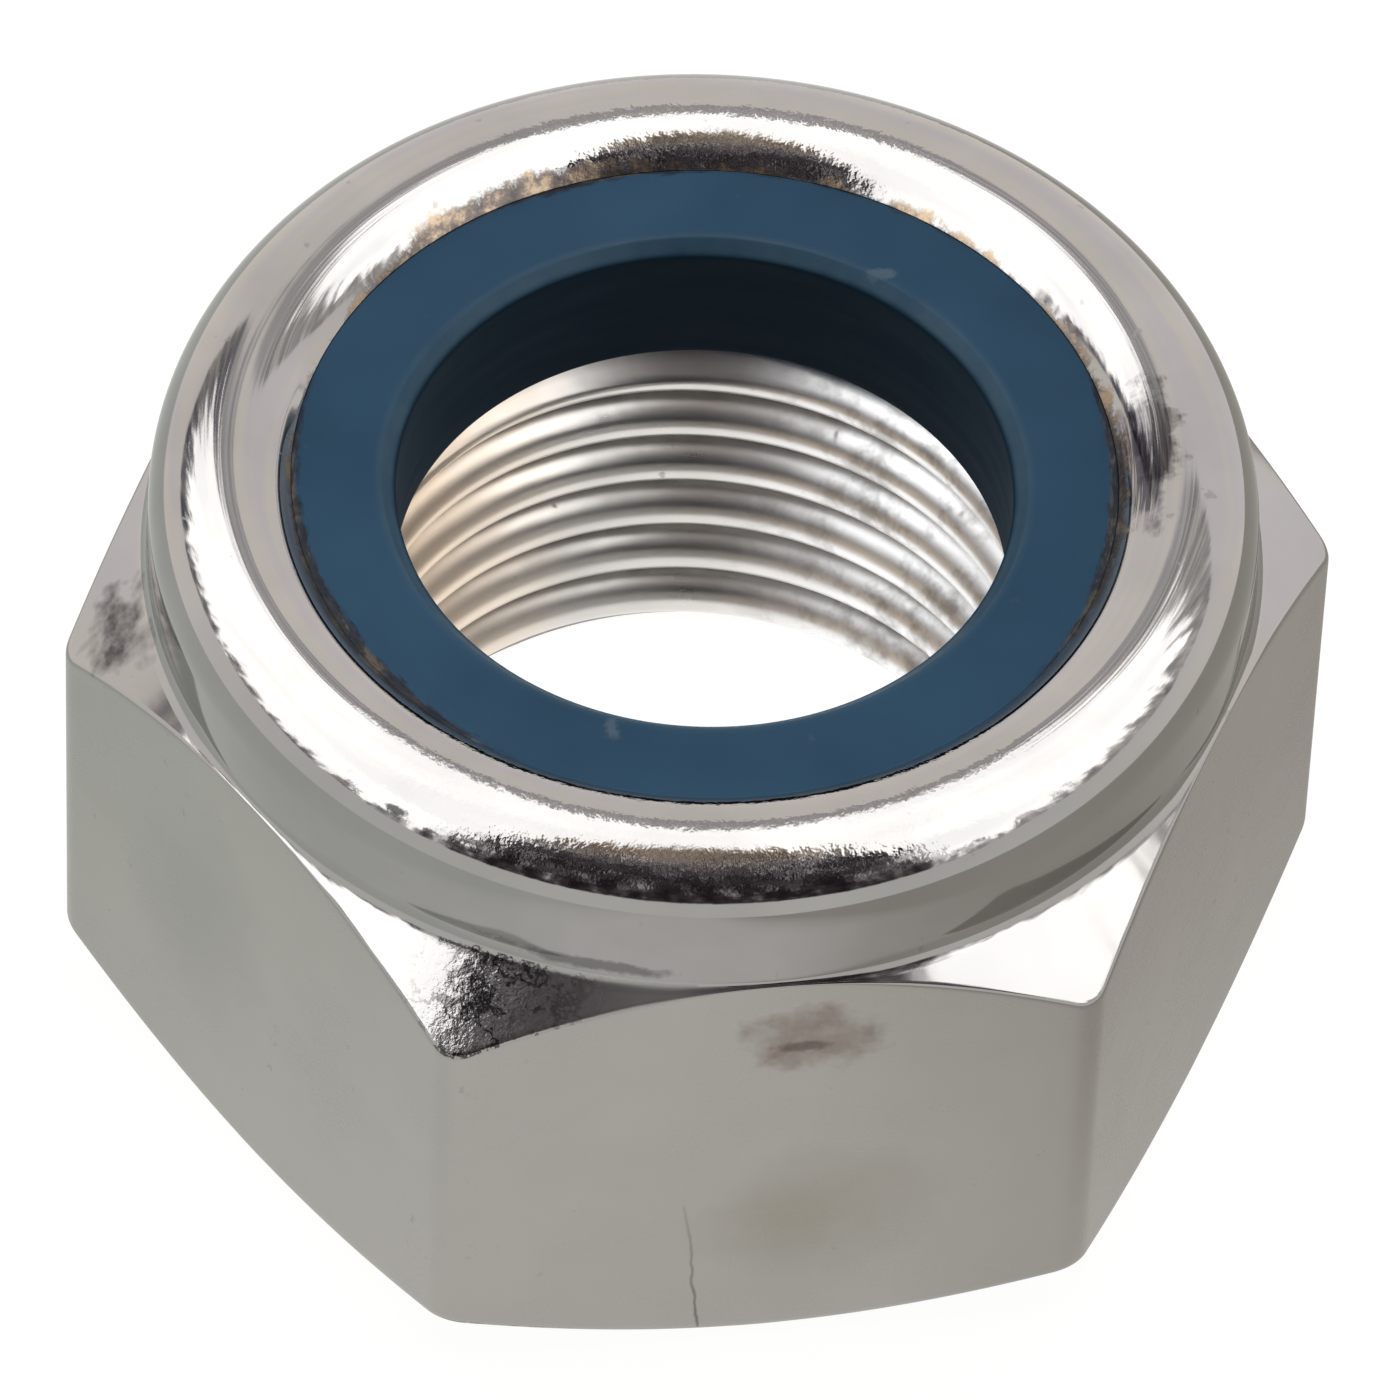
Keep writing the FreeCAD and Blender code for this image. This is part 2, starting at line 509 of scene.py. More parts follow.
def turned_places(graph, place, around, along):
    """Places that are stretched round the axis, for marks left by turning."""
    x, y, z = graph.split(place)
    radius = graph.from_axis(x, y)
    across = graph.times(graph.math("DIVIDE", x, radius), around)
    deep = graph.times(graph.math("DIVIDE", y, radius), around)
    height = graph.times(graph.plus(z, radius), along)
    return graph.add("ShaderNodeCombineXYZ", i0=across, i1=deep, i2=height).outputs[0]


def bearing_of(graph, x, y, side_angle):
    """Bearing of a place from one side of the nut, positive to the right of it: in radians, and as
    a share of the way from the far side round to it again."""
    sine, cosine = math.sin(side_angle), math.cos(side_angle)
    front = graph.minus(graph.times(x, sine), graph.times(y, cosine))
    side = graph.plus(graph.times(x, cosine), graph.times(y, sine))
    bearing = graph.math("ARCTAN2", side, front)
    return bearing, graph.span(bearing, -math.pi, math.pi)


def bearing_curve(graph, share, points, full=1):
    """Value as a share of the full one, from points of (bearing in degrees, value)."""
    node = graph.add("ShaderNodeFloatCurve", i1=share)
    curve = node.mapping.curves[0]
    while len(curve.points) < len(points):
        curve.points.new(0.5, 0.5)
    for point, (bearing, value) in zip(curve.points, points):
        point.location = ((bearing + 180) / 360, value / full)
        point.handle_type = "VECTOR"
    node.mapping.update()
    return node.outputs[0]


# Marks at fixed places on the nut: middle and half sizes in millimetres, the scale and depth of the
# noise that makes the edge ragged, and the softness of the edge
Mark = namedtuple("Mark", "middle half_sizes ragged_scale ragged_depth softness")
WALL_SMUDGE = Mark((-3.7, -11.32, 12.32), (1.6, 1.0, 0.16), 1500, 0.5, 0.3)
# The next two are painted shade on the lip's inner side at its right
LIP_SHADE_PATCH = Mark((9.62, -0.4, 14.95), (0.55, 1.4, 0.6), 1300, 0.55, 0.2)
LIP_SHADE_STREAK = Mark((9.2, -1.2, 14.75), (0.42, 1.8, 0.7), 1300, 0.35, 0.25)
RIM_FLECK = Mark((-7.55, -8.5, 14.6), (0.3, 0.22, 0.07), 2500, 0.5, 0.2)
LEFT_CORNER_DARK_PATCH = Mark((-12.6, -0.3, 11.3), (0.9, 0.95, 0.8), 700, 0.9, 0.35)
RUST_STAIN = Mark((0.95, -12.0, 10.1), (1.15, 0.8, 0.95), 900, 0.55, 0.35)
RUST_STREAK = Mark((0.7, -12.0, 9.85), (0.55, 0.5, 0.16), 2500, 0.5, 0.3)
YELLOWED_PATCH = Mark((1.0, -12.0, 4.0), (1.9, 0.9, 1.6), 300, 0.4, 0.6)
SHADED_PATCH = Mark((-11.2, -4.2, 6.8), (1.6, 1.6, 2.2), 300, 0.4, 0.7)
SCRATCHED = Mark((-1.5, -12.0, 2.5), (1.0, 0.5, 2.1), 1500, 0.3, 0.1)
RING_NICKS = (Mark((-2.85, -6.68, 14.4), (0.16, 0.3, 0.5), 3500, 0.6, 0.3),
              Mark((4.5, 5.4, 14.4), (0.3, 0.14, 0.5), 3500, 0.6, 0.3))

# Colours of marks and small spots on the steel
SPECK_TONE = (0.12, 0.105, 0.10)
SMUDGE_TONE = (0.11, 0.105, 0.11)
# The next two are tones of the painted shade on the lip's inner side
LIP_SHADE_PATCH_TONE = (0.045, 0.037, 0.040)
LIP_SHADE_STREAK_TONE = (0.05, 0.045, 0.065)
FLECK_TONE = (0.03, 0.03, 0.03)
LEFT_CORNER_DARK_TONE = (0.05, 0.045, 0.05)
# Tone of the dark branches painted as a reflection on the front left chamfer
BRANCH_REFLECTION_TONE = (0.04, 0.036, 0.04)
STREAK_TONE = (0.09, 0.07, 0.06)
SHADED_TONE = (0.26, 0.27, 0.25)
SCRATCH_TONE = (0.12, 0.11, 0.11)
# Tones of the painted shade at the foot of the lip, golden-brown at its lightest as a painted reflection
CREVICE_SHADE_TONES = ((0.38, (0.015, 0.012, 0.013)), (0.5, (0.10, 0.072, 0.055)), (0.60, (0.36, 0.26, 0.165)))

# Colours in the thread
# Near-white of the painted reflection on the thread's right side
RIGHT_REFLECTION_TONE = (0.86, 0.865, 0.87)
MOTTLE_TONE = (0.30, 0.29, 0.28)
# Tone of the painted shade at the thread's root
ROOT_SHADE_TONE = (0.07, 0.065, 0.07)

# Colours on the ring
SCUFF_TONE = (0.14, 0.18, 0.22)
NICK_TONE = (0.20, 0.26, 0.30)
# Tone of the painted shade in the bore
BORE_SHADE_TONE = (0.001, 0.009, 0.017)
# Tone of the painted highlight on the bore's upper edge
BORE_EDGE_HIGHLIGHT_TONE = (0.075, 0.135, 0.185)
# Tones of the painted shade on the ring beside the lip, brown at its lightest
RING_CREVICE_SHADE_TONES = ((0.38, (0.008, 0.009, 0.014)), (0.52, (0.036, 0.034, 0.036)),
                    (0.62, (0.16, 0.125, 0.085)))

# Width in millimetres of the painted shade at the foot of the lip, at bearings from the marks' side
CREVICE_SHADE_WIDTH = ((-180, 0.12), (-165, 0.3), (-150, 0.45), (-135, 0.35), (-120, 0.12), (-100, 0.1),
               (-85, 0.16), (-60, 0.2), (-40, 0.1), (-25, 0), (30, 0), (45, 0.05), (60, 0.22),
               (90, 0.32), (110, 0.2), (130, 0.12), (160, 0.2), (180, 0.12))

# Width in millimetres of the painted shade on the ring beside the lip, at the same bearings
RING_CREVICE_SHADE_WIDTH = ((-180, 0.06), (-160, 0.12), (-140, 0.05), (-110, 0), (-96, 0.1), (-75, 0.2),
                    (-50, 0.26), (-34, 0.12), (-22, 0), (52, 0), (64, 0.12), (88, 0.24),
                    (104, 0.15), (118, 0), (150, 0.05), (180, 0.06))

# Skins of the steel, in the order of the nut's materials. The contrast is that of light and dark
# and of smooth and rough. The lines of turning are so many to a metre. Depths are in metres.
Skin = namedtuple("Skin", "name roughness contrast lines line_depth wave_scale wave_depth")
TURNED = Skin("steel_turned", 0.055, 0.12, 9000, 0.12 * MICRON, 330, 7 * MICRON)
DRAWN = Skin("steel_drawn", 0.26, 0.05, 3000, 0.2 * MICRON, 300, 6 * MICRON)
TAPPED = Skin("steel_thread", 0.30, 0.15, 5000, 0.8 * MICRON, 700, 16 * MICRON)
CHAMFERED = Skin("steel_chamfer", 0.075, 0.08, 6000, 0.2 * MICRON, 900, 4 * MICRON)
SKINS = (TURNED, DRAWN, TAPPED, CHAMFERED)


def marked(graph, place, mark):
    """Mask that is 1 inside a mark and 0 away from it."""
    middle = tuple(value * MM for value in mark.middle)
    half_sizes = tuple(value * MM for value in mark.half_sizes)
    away = graph.add("ShaderNodeVectorMath", {"operation": "SUBTRACT"}, i0=place, i1=middle)
    scaled = graph.add("ShaderNodeVectorMath", {"operation": "DIVIDE"}, i0=away.outputs[0], i1=half_sizes)
    reach = graph.add("ShaderNodeVectorMath", {"operation": "LENGTH"}, i0=scaled.outputs[0])
    ragged = graph.noise(place, mark.ragged_scale, 3.0, 0.7)
    ragged = graph.span(ragged, 0.25, 0.75, -mark.ragged_depth, mark.ragged_depth)
    reach = graph.plus(reach.outputs["Value"], ragged)
    return graph.span(reach, 1.0 + mark.softness, 1.0 - mark.softness)


def clean_steel(skin, colour):
    """Bright steel before its marks: its graph, places, tone, roughness and relief."""
    graph, place = new_material(skin.name)
    lines = graph.noise(turned_places(graph, place, 1.5, skin.lines), 1.0, 2.0, 0.6)
    cloud = graph.noise(place, 260, 3.0, 0.6)
    speck = graph.span(graph.noise(place, 1700, 2.0, 0.7), 0.71, 0.77)
    dark = tuple(channel * (1 - skin.contrast) for channel in colour)
    tone = graph.mix(graph.span(cloud, 0.35, 0.7), rgba(colour), rgba(dark))
    tone = graph.paint(tone, speck, skin.contrast * 2, SPECK_TONE)
    spread = skin.contrast * 1.5
    rough = graph.span(cloud, 0.3, 0.75, skin.roughness * (1 - spread), skin.roughness * (1 + spread))
    rough = graph.plus(rough, graph.times(speck, 0.2))
    rough = graph.plus(rough, graph.span(lines, 0.3, 0.7, 0.0, 0.02))
    waves = graph.noise(place, skin.wave_scale, 2.0, 0.55)
    relief = graph.bump(skin.line_depth, lines, graph.bump(skin.wave_depth, waves))
    return graph, place, tone, rough, relief


def finished_steel(graph, tone, rough, relief):
    """Material of a steel graph, with its shader."""
    graph.show(graph.add("ShaderNodeBsdfPrincipled", Base_Color=tone, Metallic=1.0,
                         Roughness=rough, Normal=relief))
    return graph.owner


def turned_steel(finish, lip_radius):
    """Rim and collar, with painted shade at the foot of the lip, golden-brown in places as a painted
    reflection, and a patch and a streak of painted shade on the lip's inner side at its right.
    """
    graph, place, tone, rough, relief = clean_steel(TURNED, finish.steel)
    x, y, _ = graph.split(place)
    radius = graph.from_axis(x, y)
    _, share = bearing_of(graph, x, y, finish.marks_from)
    # Painted shade in the crevice at the foot of the lip, golden-brown in places as a painted reflection
    width = graph.times(bearing_curve(graph, share, CREVICE_SHADE_WIDTH), MM)
    crevice_mottle = graph.noise(place, 1100, 5.0, 0.75)
    outwards = graph.minus(radius, graph.plus(width, lip_radius * MM))
    outwards = graph.minus(outwards, graph.span(crevice_mottle, 0.3, 0.7, -0.28 * MM, 0.14 * MM))
    crevice_shade = graph.times(graph.span(outwards, 0.02 * MM, -0.10 * MM), graph.span(width, 0, 0.1 * MM))
    tone = graph.paint(tone, marked(graph, place, WALL_SMUDGE), 0.65, SMUDGE_TONE)
    # Painted shade on the lip's inner side at its right, broken by lighter streaks
    streaks = graph.noise(turned_places(graph, place, 3.0, 6500), 1.0, 3.0, 0.6)
    patch = graph.times(marked(graph, place, LIP_SHADE_PATCH), graph.span(streaks, 0.40, 0.62, 1.0, 0.3))
    tone = graph.paint(tone, patch, 0.9, LIP_SHADE_PATCH_TONE)
    shade_streak = graph.times(marked(graph, place, LIP_SHADE_STREAK), graph.span(streaks, 0.50, 0.60, 1.0, 0.1))
    tone = graph.paint(tone, shade_streak, 0.85, LIP_SHADE_STREAK_TONE)
    tone = graph.paint(tone, marked(graph, place, RIM_FLECK), 0.9, FLECK_TONE)
    tone = graph.mix(graph.times(crevice_shade, 0.85), tone, graph.ramp(crevice_mottle, CREVICE_SHADE_TONES))
    rough = graph.plus(rough, graph.times(crevice_shade, 0.2))
    aside = graph.math("ABSOLUTE", graph.minus(share, 0.5))
    uneven = graph.plus(graph.span(aside, 0.13, 0.09), graph.span(aside, 0.40, 0.45))
    uneven = graph.times(uneven, graph.span(radius, 11.6 * MM, 11.3 * MM))
    pimples = graph.times(graph.noise(place, 2300, 3.0, 0.65), uneven)
    return finished_steel(graph, tone, rough, graph.bump(16 * MICRON, pimples, relief))


def chamfer_steel(finish):
    """Chamfers. At the front left an uneven and a dull patch break up what they mirror, and dark
    branches are painted there as a painted reflection. The left corner has a dark blotchy patch.
    """
    graph, place, tone, rough, relief = clean_steel(CHAMFERED, finish.steel)
    x, y, _ = graph.split(place)
    _, share = bearing_of(graph, x, y, finish.marks_from)
    uneven = graph.times(graph.span(share, 0.422, 0.442), graph.span(share, 0.480, 0.455))
    dull = graph.times(graph.span(share, 0.44, 0.49), graph.span(share, 0.535, 0.50))
    blotches = graph.span(graph.noise(place, 1100, 4.0, 0.7), 0.35, 0.6, 0.35, 1.0)
    # A dark blotchy patch on the chamfer of the left corner
    corner_dark_patch = graph.times(marked(graph, place, LEFT_CORNER_DARK_PATCH), blotches)
    tone = graph.paint(tone, corner_dark_patch, 0.88, LEFT_CORNER_DARK_TONE)
    # Dark branches painted on the front left chamfer as a painted reflection
    painted_branches = graph.math("ABSOLUTE", graph.minus(graph.noise(place, 620, 5.0, 0.7), 0.5))
    painted_branches = graph.times(graph.span(painted_branches, 0.035, 0.008), uneven)
    tone = graph.paint(tone, painted_branches, 0.9, BRANCH_REFLECTION_TONE)
    rough = graph.plus(rough, graph.times(dull, 0.25))
    pimples = graph.times(graph.noise(place, 1000, 5.0, 0.7), uneven)
    return finished_steel(graph, tone, rough, graph.bump(26 * MICRON, pimples, relief))


def thread_steel(finish, root_radius):
    """Tapped thread: painted shade at the root, a tan painted reflection at its left, and a near-white
    painted reflection with darker mottles at its right.
    """
    graph, place, tone, rough, relief = clean_steel(TAPPED, finish.tapped)
    x, y, _ = graph.split(place)
    patches = graph.noise(place, 620, 4.0, 0.7)
    # A tan painted reflection on the thread's left side, in patches
    painted_tan = graph.times(graph.span(x, -1.5 * MM, -5.5 * MM), graph.span(patches, 0.25, 0.5, 0.55, 1.0))
    tone = graph.mix(painted_tan, tone, rgba(finish.reflected_tan))
    # A near-white painted reflection on the thread's right side
    right_reflection = graph.span(x, 1.0 * MM, 4.5 * MM)
    tone = graph.mix(right_reflection, tone, rgba(RIGHT_REFLECTION_TONE))
    mottled = graph.times(right_reflection, graph.span(patches, 0.50, 0.62))
    tone = graph.paint(tone, mottled, 0.6, MOTTLE_TONE)
    rough = graph.plus(rough, graph.times(graph.plus(right_reflection, painted_tan), 0.12))
    # Painted shade at the root of the thread, patchy along it
    root = graph.span(graph.from_axis(x, y), (root_radius - 0.50) * MM, (root_radius - 0.18) * MM)
    root = graph.times(root, graph.span(patches, 0.3, 0.6, 0.92, 0.55))
    tone = graph.mix(root, tone, rgba(ROOT_SHADE_TONE))
    return finished_steel(graph, tone, rough, relief)


def drawn_steel(finish):
    """Satin flats. The front one has a rust stain, a yellowed patch and a scratch."""
    graph, place, tone, rough, relief = clean_steel(DRAWN, finish.drawn)
    blotches = graph.span(graph.noise(place, 1500, 3.0, 0.6), 0.35, 0.65, 0.5, 1.0)
    stain = graph.times(marked(graph, place, RUST_STAIN), blotches)
    tone = graph.paint(tone, stain, 0.55, finish.stain)
    tone = graph.paint(tone, marked(graph, place, RUST_STREAK), 0.55, STREAK_TONE)
    tone = graph.paint(tone, marked(graph, place, YELLOWED_PATCH), 0.5, finish.yellowed)
    tone = graph.paint(tone, marked(graph, place, SHADED_PATCH), 0.22, SHADED_TONE)
    # The scratch leans a little, wanders, and fades towards its upper end
    x, _, z = graph.split(place)
    wander = graph.span(graph.noise(place, 800, 3.0, 0.6), 0.3, 0.7, -0.06 * MM, 0.06 * MM)
    aside = graph.plus(graph.plus(x, graph.times(z, 0.1)), 1.27 * MM)
    aside = graph.math("ABSOLUTE", graph.plus(aside, wander))
    scratch = graph.times(graph.span(aside, 0.05 * MM, 0.01 * MM), marked(graph, place, SCRATCHED))
    scratch = graph.times(scratch, graph.span(z, 4.5 * MM, 1.0 * MM, 0.2, 0.7))
    tone = graph.mix(scratch, tone, rgba(SCRATCH_TONE))
    rough = graph.plus(rough, graph.times(stain, 0.2))
    return finished_steel(graph, tone, rough, relief)


def nylon_material(finish, bore_radius, lip_radius):
    """Moulded blue nylon with faint swirls and scuffs, nicks, painted shade in the bore, a painted
    highlight on the bore's upper edge, and painted shade on the ring beside the lip.
    """
    graph, place = new_material("nylon")
    x, y, _ = graph.split(place)
    radius = graph.from_axis(x, y)
    swirl = graph.noise(turned_places(graph, place, 2.0, 2500), 1.0, 2.0, 0.6)
    cloud = graph.noise(place, 210, 2.0, 0.55)
    pale = tuple(channel * 1.3 + 0.006 for channel in finish.nylon)
    tone = graph.mix(graph.span(cloud, 0.3, 0.75), rgba(finish.nylon), rgba(pale))
    scuff = graph.span(graph.noise(place, 900, 3.0, 0.75), 0.68, 0.75)
    tone = graph.paint(tone, scuff, 0.2, SCUFF_TONE)
    for nick in RING_NICKS:
        tone = graph.paint(tone, marked(graph, place, nick), 0.35, NICK_TONE)
    # Painted shade on the bore's wall
    in_bore = graph.span(radius, (bore_radius + 0.14) * MM, (bore_radius + 0.03) * MM)
    tone = graph.paint(tone, in_bore, 0.88, BORE_SHADE_TONE)
    # Painted highlight round the bore's upper edge, uneven along it
    edge = graph.times(graph.span(radius, (bore_radius + 0.02) * MM, (bore_radius + 0.10) * MM),
                       graph.span(radius, (bore_radius + 0.50) * MM, (bore_radius + 0.28) * MM))
    edge = graph.times(edge, graph.span(graph.noise(place, 700, 3.0, 0.6), 0.25, 0.6, 0.25, 1.0))
    tone = graph.paint(tone, edge, 0.65, BORE_EDGE_HIGHLIGHT_TONE)
    _, share = bearing_of(graph, x, y, finish.marks_from)
    # Painted shade on the ring in the crevice beside the lip
    width = graph.times(bearing_curve(graph, share, RING_CREVICE_SHADE_WIDTH), MM)
    crevice_mottle = graph.noise(turned_places(graph, place, 9.0, 3500), 1.0, 4.0, 0.7)
    inwards = graph.minus(graph.minus(lip_radius * MM, radius), width)
    inwards = graph.plus(inwards, graph.span(crevice_mottle, 0.3, 0.7, -0.10 * MM, 0.10 * MM))
    crevice_shade = graph.times(graph.span(inwards, 0.03 * MM, -0.06 * MM), graph.span(width, 0, 0.1 * MM))
    tone = graph.mix(graph.times(crevice_shade, 0.9), tone, graph.ramp(crevice_mottle, RING_CREVICE_SHADE_TONES))
    rough = graph.plus(graph.span(swirl, 0.3, 0.7, 0.32, 0.42), graph.times(in_bore, 0.4))
    grain = graph.noise(place, 5200, 2.0, 0.5)
    relief = graph.bump(3 * MICRON, grain, graph.bump(4 * MICRON, swirl))
    graph.show(graph.add("ShaderNodeBsdfPrincipled", Base_Color=tone, Roughness=rough,
                         Specular_IOR_Level=0.15, Normal=relief))
    return graph.owner


# Tones of the floor as the steel mirrors it, from the camera's left to its right, and in the hole
FLOOR_TONES = ((0.0, (0.56, 0.58, 0.55)), (0.35, (0.70, 0.69, 0.675)), (0.62, (0.68, 0.67, 0.655)),
               (0.92, (0.40, 0.375, 0.34)))
HOLE_TONE = (1.25, 1.24, 1.22)

# White of the floor where it is seen directly, and in the hole
FLOOR_WHITE = (0.955, 0.955, 0.95)
HOLE_WHITE = (1, 1, 1)


def floor_material(studio, hole_radius):
    """Pale floor, white where no shadow falls. The flats mirror it greyer than the thread does."""
    graph, place = new_material("floor")
    shade = tuple(channel * 0.97 for channel in studio.floor)
    tone = graph.mix(graph.noise(place, 60, 3.0, 0.5), rgba(studio.floor), rgba(shade))
    plain = graph.add("ShaderNodeBsdfDiffuse", Color=tone)
    x, y, _ = graph.split(place)
    aside = graph.plus(graph.times(x, math.cos(studio.azimuth)), graph.times(y, math.sin(studio.azimuth)))
    mirrored = graph.ramp(graph.span(aside, -20 * MM, 20 * MM), FLOOR_TONES)
    in_hole = graph.span(graph.from_axis(x, y), hole_radius * MM, (hole_radius - 0.5) * MM)
    mirrored = graph.mix(in_hole, mirrored, rgba(HOLE_TONE))
    white = graph.mix(in_hole, rgba(FLOOR_WHITE), rgba(HOLE_WHITE))
    path = graph.add("ShaderNodeLightPath")
    glow_tone = graph.mix(path.outputs["Is Glossy Ray"], white, mirrored)
    glow = graph.add("ShaderNodeEmission", Color=glow_tone, Strength=1.0)
    dimmed = graph.add("ShaderNodeBsdfDiffuse", Color=rgba((0.12, 0.12, 0.12)))
    bright = graph.add("ShaderNodeAddShader", i0=dimmed.outputs[0], i1=glow.outputs[0])
    graph.show(graph.add("ShaderNodeMixShader", i0=graph.seen(path), i1=plain.outputs[0],
                         i2=bright.outputs[0]))
    graph.owner.cycles.emission_sampling = "NONE"
    return graph.owner


# Heights in degrees of the surround's dark band, at bearings from the camera's side (0) to the far
# side (180 and -180). The surround is bright above the band and soft grey below it.
BAND_TOP = ((-180, 74), (-160, 67), (-150, 58), (-140, 44), (-125, 33), (-110, 29), (-90, 27),
            (-70, 25), (-48, 25), (-40, 33), (-37, 56), (-34, 76), (-15, 84), (0, 85), (15, 84),
            (36, 78), (39, 58), (43, 28), (52, 25), (70, 29), (90, 33), (108, 40), (122, 52),
            (135, 60), (150, 66), (165, 70), (180, 74))
BAND_FOOT = ((-180, 58), (-160, 52), (-150, 42), (-140, 32), (-125, 24), (-110, 22), (-90, 22),
             (-70, 20.5), (-46, 19), (0, 18.5), (46, 19), (54, 20), (70, 21), (90, 22), (108, 27),
             (122, 38), (135, 46), (150, 52), (165, 56), (180, 58))

# Tones of the dark band's mottles, from the darkest to the lightest
NEAR_TONES = ((0.45, (0.022, 0.016, 0.020)), (0.53, (0.07, 0.058, 0.066)),
              (0.60, (0.30, 0.28, 0.30)), (0.67, (1.2, 1.17, 1.18)))
GOLDEN_TONES = ((0.40, (0.10, 0.075, 0.065)), (0.5, (0.36, 0.26, 0.19)), (0.60, (1.05, 0.80, 0.54)))
LEFT_TONES = ((0.34, (0.05, 0.06, 0.10)), (0.47, (0.20, 0.20, 0.25)), (0.56, (0.48, 0.42, 0.38)),
              (0.68, (1.0, 0.95, 0.92)))
RIGHT_TONES = ((0.34, (0.24, 0.24, 0.26)), (0.47, (0.50, 0.48, 0.48)), (0.56, (0.78, 0.74, 0.71)),
               (0.68, (1.2, 1.16, 1.14)))
FAR_TONES = ((0.34, (0.22, 0.21, 0.22)), (0.45, (0.55, 0.53, 0.55)), (0.6, (0.80, 0.77, 0.78)),
             (0.72, (1.6, 1.6, 1.6)))

# Tones above the band and below it
BRIGHT_WARM = (2.7, 2.68, 2.65)
BRIGHT_COOL = (2.3, 2.3, 2.32)
GREY_COOL = (1.04, 1.0, 1.01)
GREY_WARM = (1.12, 1.05, 0.98)
GREY_NEAR = (0.82, 0.82, 0.80)

MOTTLES_AROUND = 17.0           # for each radian round the nut
MOTTLES_UP = 4.5                # from the horizon to overhead


def over_degrees(graph, angle, low, high):
    """Rises from 0 to 1 where an angle in radians goes from low to high, both in degrees."""
    return graph.span(angle, math.radians(low), math.radians(high))


def surround_material(studio):
    """Glow of the surround: a dark mottled band, bright above and grey below, highest in front."""
    graph, place = new_material("surround")
    ray = graph.add("ShaderNodeVectorMath", {"operation": "NORMALIZE"}, i0=place).outputs[0]
    x, y, z = graph.split(ray)
    bearing, share = bearing_of(graph, x, y, studio.azimuth)
    aside = graph.math("ABSOLUTE", bearing)
    height = graph.math("DIVIDE", graph.math("ARCSINE", z), math.pi / 2)
    sheet = graph.add("ShaderNodeCombineXYZ", i0=graph.times(bearing, MOTTLES_AROUND),
                      i1=graph.times(height, MOTTLES_UP)).outputs[0]
    mottle = graph.noise(sheet, 1.0, 6.0, 0.8)
    ragged = graph.noise(sheet, 0.7, 5.0, 0.8)
    wander = graph.noise(sheet, 1.9, 5.0, 0.75)
    broad = graph.noise(ray, 3.2, 1.0, 0.5)

    shifted = graph.plus(share, graph.span(wander, 0.3, 0.7, -0.019, 0.019))
    top = bearing_curve(graph, shifted, BAND_TOP, 90)
    top = graph.plus(top, graph.span(ragged, 0.3, 0.7, -0.14, 0.12))
    foot = bearing_curve(graph, share, BAND_FOOT, 90)
    foot = graph.plus(foot, graph.span(mottle, 0.3, 0.7, -0.012, 0.012))
    below = graph.minus(top, height)
    under_top = graph.span(below, -0.01, 0.02)
    under_foot = graph.span(graph.minus(foot, height), -0.006, 0.006)

    bright = graph.mix(graph.span(broad, 0.35, 0.65), rgba(BRIGHT_WARM), rgba(BRIGHT_COOL))
    grey = graph.mix(graph.span(broad, 0.4, 0.6), rgba(GREY_COOL), rgba(GREY_WARM))
    grey = graph.mix(over_degrees(graph, aside, 60, 120), rgba(GREY_NEAR), grey)
    wispy = graph.plus(mottle, graph.span(below, 0.45, 0.0, 0.0, 0.13))
    fringe = graph.times(graph.span(below, 0.25, 0.04, 0.35, 1.0), graph.span(height, 0.62, 0.78))
    near = graph.mix(fringe, graph.ramp(wispy, NEAR_TONES), graph.ramp(mottle, GOLDEN_TONES))
    flank = graph.mix(over_degrees(graph, bearing, -20, 20), graph.ramp(mottle, LEFT_TONES),
                      graph.ramp(mottle, RIGHT_TONES))
    band = graph.mix(over_degrees(graph, aside, 46, 60), near, flank)
    band = graph.mix(over_degrees(graph, aside, 148, 160), band, graph.ramp(mottle, FAR_TONES))
    tone = graph.mix(under_foot, graph.mix(under_top, bright, band), grey)
    graph.show(graph.add("ShaderNodeEmission", Color=tone, Strength=1.0))
    graph.owner.cycles.emission_sampling = "NONE"
    return graph.owner


def skin_of(face, thread):
    """Skin of one face of the nut: turned, unless it lies on a flat, in the bore or on a chamfer."""
    middle = face.center / MM
    radius = math.hypot(middle.x, middle.y)
    upright = abs(face.normal.z) < 0.3
    if upright and radius > FLAT_RADIUS - 0.02 and middle.z < HEX_HEIGHT:
        return DRAWN
    if radius < thread.major_radius + 0.01 and middle.z < SEAT_HEIGHT - 0.5:
        return TAPPED
    if radius > FLAT_RADIUS - 0.05 and middle.z < HEX_HEIGHT:
        return CHAMFERED
    return TURNED


class BuildNut(bpy.types.Operator):
    """Build the steel nut with its hexagon, rolled rim, countersinks and thread"""
    bl_idname = "lock_nut.build_nut"
    bl_label = "Build nut"

    def execute(self, context):
        sizes = context.scene.nut_sizes
        thread = context.scene.nut_thread
        finish = context.scene.nut_finish
        angles = column_angles(sizes)
        angles.append(angles[0] + TURN)
        lines = [outer_section(angle, sizes, thread) + thread_section(angle, sizes, thread)[1:]
                 for angle in angles]
        nut = mesh_object("nut", lines, angles)
        for material in (turned_steel(finish, sizes.lip_radius), drawn_steel(finish),
                         thread_steel(finish, thread.major_radius), chamfer_steel(finish)):
            nut.data.materials.append(material)
        found = set()
        for face in nut.data.polygons:
            face.material_index = SKINS.index(skin_of(face, thread))
            found.add(face.material_index)
        if len(found) < len(SKINS):
            raise RuntimeError("the nut has no flats, no chamfers or no bore")
        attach(nut, "root")
        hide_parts("nut_body")
        return {"FINISHED"}


